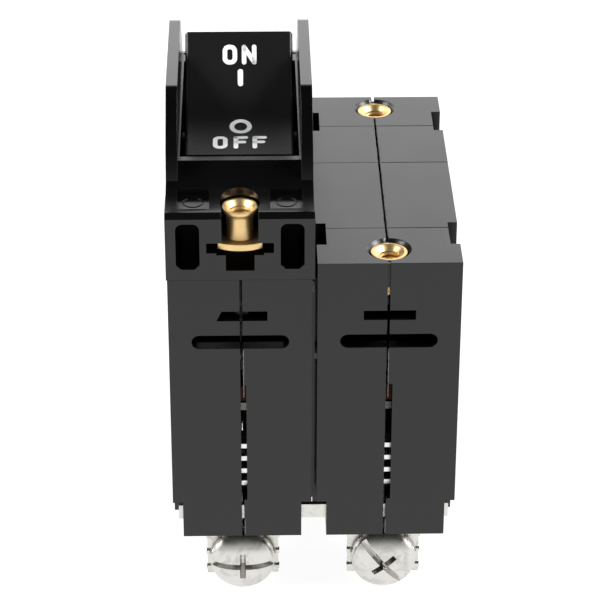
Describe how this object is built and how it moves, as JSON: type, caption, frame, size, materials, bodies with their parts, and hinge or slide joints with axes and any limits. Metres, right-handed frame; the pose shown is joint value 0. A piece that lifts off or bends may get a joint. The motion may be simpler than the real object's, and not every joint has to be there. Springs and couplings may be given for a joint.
{
  "type": "circuit breaker",
  "caption": "Panel-mount circuit breaker with narrow split cases side by side, a guarded ON/OFF rocker in a bezel on one pole, brass mounting inserts and screw terminals.",
  "frame": {"origin": "centre of the overall box, on the surface that the terminal screw heads stand on", "axes": "+Z from the terminals to the rocker, +Y along the length of the cases from the near (line) end to the far (load) end, +X across the poles"},
  "size_m": [0.039, 0.0518, 0.0738],
  "materials": {
    "moulding": "fine moulded grain, satin",
    "rocker": "fine moulded grain, satin black",
    "print": "pad-printed white legend",
    "brass": "turned, bright",
    "tin": "bright tin plating",
    "steel": "plain stamped steel",
    "copper": "plain copper",
    "silver": "silver contact",
    "nylon": "natural nylon",
    "phenolic": "brown phenolic"
  },
  "bodies": {
    "case": {"case_a_left": "moulding", "case_a_right": "moulding", "line_terminal_a": "tin", "load_terminal_a": "tin", "fixed_contact_a": "silver", "arc_chute_a": "steel", "magnet_frame_a": "steel", "armature_pin_a": "steel", "armature_spring_a": "steel", "bobbin_a": "nylon", "coil_a": "copper", "braid_a": "copper", "delay_tube_a": "brass", "case_b_left": "moulding", "case_b_right": "moulding", "line_terminal_b": "tin", "load_terminal_b": "tin", "fixed_contact_b": "silver", "arc_chute_b": "steel", "magnet_frame_b": "steel", "armature_pin_b": "steel", "armature_spring_b": "steel", "bobbin_b": "nylon", "coil_b": "copper", "braid_b": "copper", "delay_tube_b": "brass", "bezel": "moulding", "rocker_pivot_pin": "steel", "rivet_near": "steel", "rivet_far": "steel", "rivet_bottom": "steel", "tie_strip_near": "tin", "tie_strip_far": "tin", "bezel_insert_near": "brass", "bezel_insert_far": "brass", "case_insert_near": "brass", "case_insert_far": "brass"},
    "rocker": {"rocker": "rocker", "crank_pin": "steel"},
    "link": {"drive_link": "steel"},
    "crossbar": {"crossbar": "phenolic", "contact_arm_a": "copper", "contact_arm_b": "copper", "moving_contact_a": "silver", "moving_contact_b": "silver", "link_pin": "steel"},
    "trip_bar": {"trip_bar": "nylon"},
    "armature_a": {"armature_a": "steel"},
    "armature_b": {"armature_b": "steel"},
    "line_clamp_a": {"line_clamp_a": "tin"},
    "line_screw_a": {"line_screw_a": "tin"},
    "line_clamp_b": {"line_clamp_b": "tin"},
    "line_screw_b": {"line_screw_b": "tin"},
    "load_clamp_a": {"load_clamp_a": "tin"},
    "load_screw_a": {"load_screw_a": "tin"},
    "load_clamp_b": {"load_clamp_b": "tin"},
    "load_screw_b": {"load_screw_b": "tin"}
  },
  "joints": [
    {"name": "rocker_pivot", "type": "hinge", "parent": "case", "child": "rocker", "pos_m": [-0.0097, 0, 0.05862], "axis": [1, 0, 0], "range_deg": [-60, 0]},
    {"name": "link_pivot", "type": "hinge", "parent": "rocker", "child": "link", "pos_m": [-0.0097, 0.0039, 0.06087], "axis": [1, 0, 0], "range_deg": [0, 60]},
    {"name": "crossbar_pivot", "type": "hinge", "parent": "case", "child": "crossbar", "pos_m": [0.00006, 0.0042, 0.02222], "axis": [1, 0, 0], "range_deg": [0, 23.61]},
    {"name": "trip_bar_pivot", "type": "hinge", "parent": "case", "child": "trip_bar", "pos_m": [0.00006, 0.0061, 0.04682], "axis": [1, 0, 0], "range_deg": [-12, 0], "stiffness_Nm_per_rad": 0.001, "springref_deg": 17.19},
    {"name": "armature_a_hinge", "type": "hinge", "parent": "case", "child": "armature_a", "pos_m": [-0.0098, 0.0218, 0.04422], "axis": [1, 0, 0], "range_deg": [0, 7.5], "stiffness_Nm_per_rad": 0.002, "springref_deg": -17.19},
    {"name": "armature_b_hinge", "type": "hinge", "parent": "case", "child": "armature_b", "pos_m": [0.00993, 0.0218, 0.04422], "axis": [1, 0, 0], "range_deg": [0, 7.5], "stiffness_Nm_per_rad": 0.002, "springref_deg": -17.19},
    {"name": "line_clamp_a_slide", "type": "slide", "parent": "case", "child": "line_clamp_a", "axis": [0, -1, 0], "range_m": [0, 0.00238]},
    {"name": "line_screw_a_turn", "type": "hinge", "parent": "line_clamp_a", "child": "line_screw_a", "pos_m": [-0.0098, -0.0222, 0.00455], "axis": [0, -1, 0], "range_deg": [0, 1081]},
    {"name": "line_clamp_b_slide", "type": "slide", "parent": "case", "child": "line_clamp_b", "axis": [0, -1, 0], "range_m": [0, 0.00238]},
    {"name": "line_screw_b_turn", "type": "hinge", "parent": "line_clamp_b", "child": "line_screw_b", "pos_m": [0.00993, -0.0222, 0.00455], "axis": [0, -1, 0], "range_deg": [0, 1081]},
    {"name": "load_clamp_a_slide", "type": "slide", "parent": "case", "child": "load_clamp_a", "axis": [0, 1, 0], "range_m": [0, 0.00238]},
    {"name": "load_screw_a_turn", "type": "hinge", "parent": "load_clamp_a", "child": "load_screw_a", "pos_m": [-0.0098, 0.0222, 0.00455], "axis": [0, 1, 0], "range_deg": [0, 1081]},
    {"name": "load_clamp_b_slide", "type": "slide", "parent": "case", "child": "load_clamp_b", "axis": [0, 1, 0], "range_m": [0, 0.00238]},
    {"name": "load_screw_b_turn", "type": "hinge", "parent": "load_clamp_b", "child": "load_screw_b", "pos_m": [0.00993, 0.0222, 0.00455], "axis": [0, 1, 0], "range_deg": [0, 1081]}
  ],
  "couplings": [
    {"joint": "link_pivot", "follows": "rocker_pivot", "ratio": -1},
    {"joint": "crossbar_pivot", "follows": "rocker_pivot", "ratio": -0.39343},
    {"joint": "line_screw_a_turn", "follows": "line_clamp_a_slide", "rad_per_m": 7915.8},
    {"joint": "line_screw_b_turn", "follows": "line_clamp_b_slide", "rad_per_m": 7915.8},
    {"joint": "load_screw_a_turn", "follows": "load_clamp_a_slide", "rad_per_m": 7915.8},
    {"joint": "load_screw_b_turn", "follows": "load_clamp_b_slide", "rad_per_m": 7915.8}
  ]
}
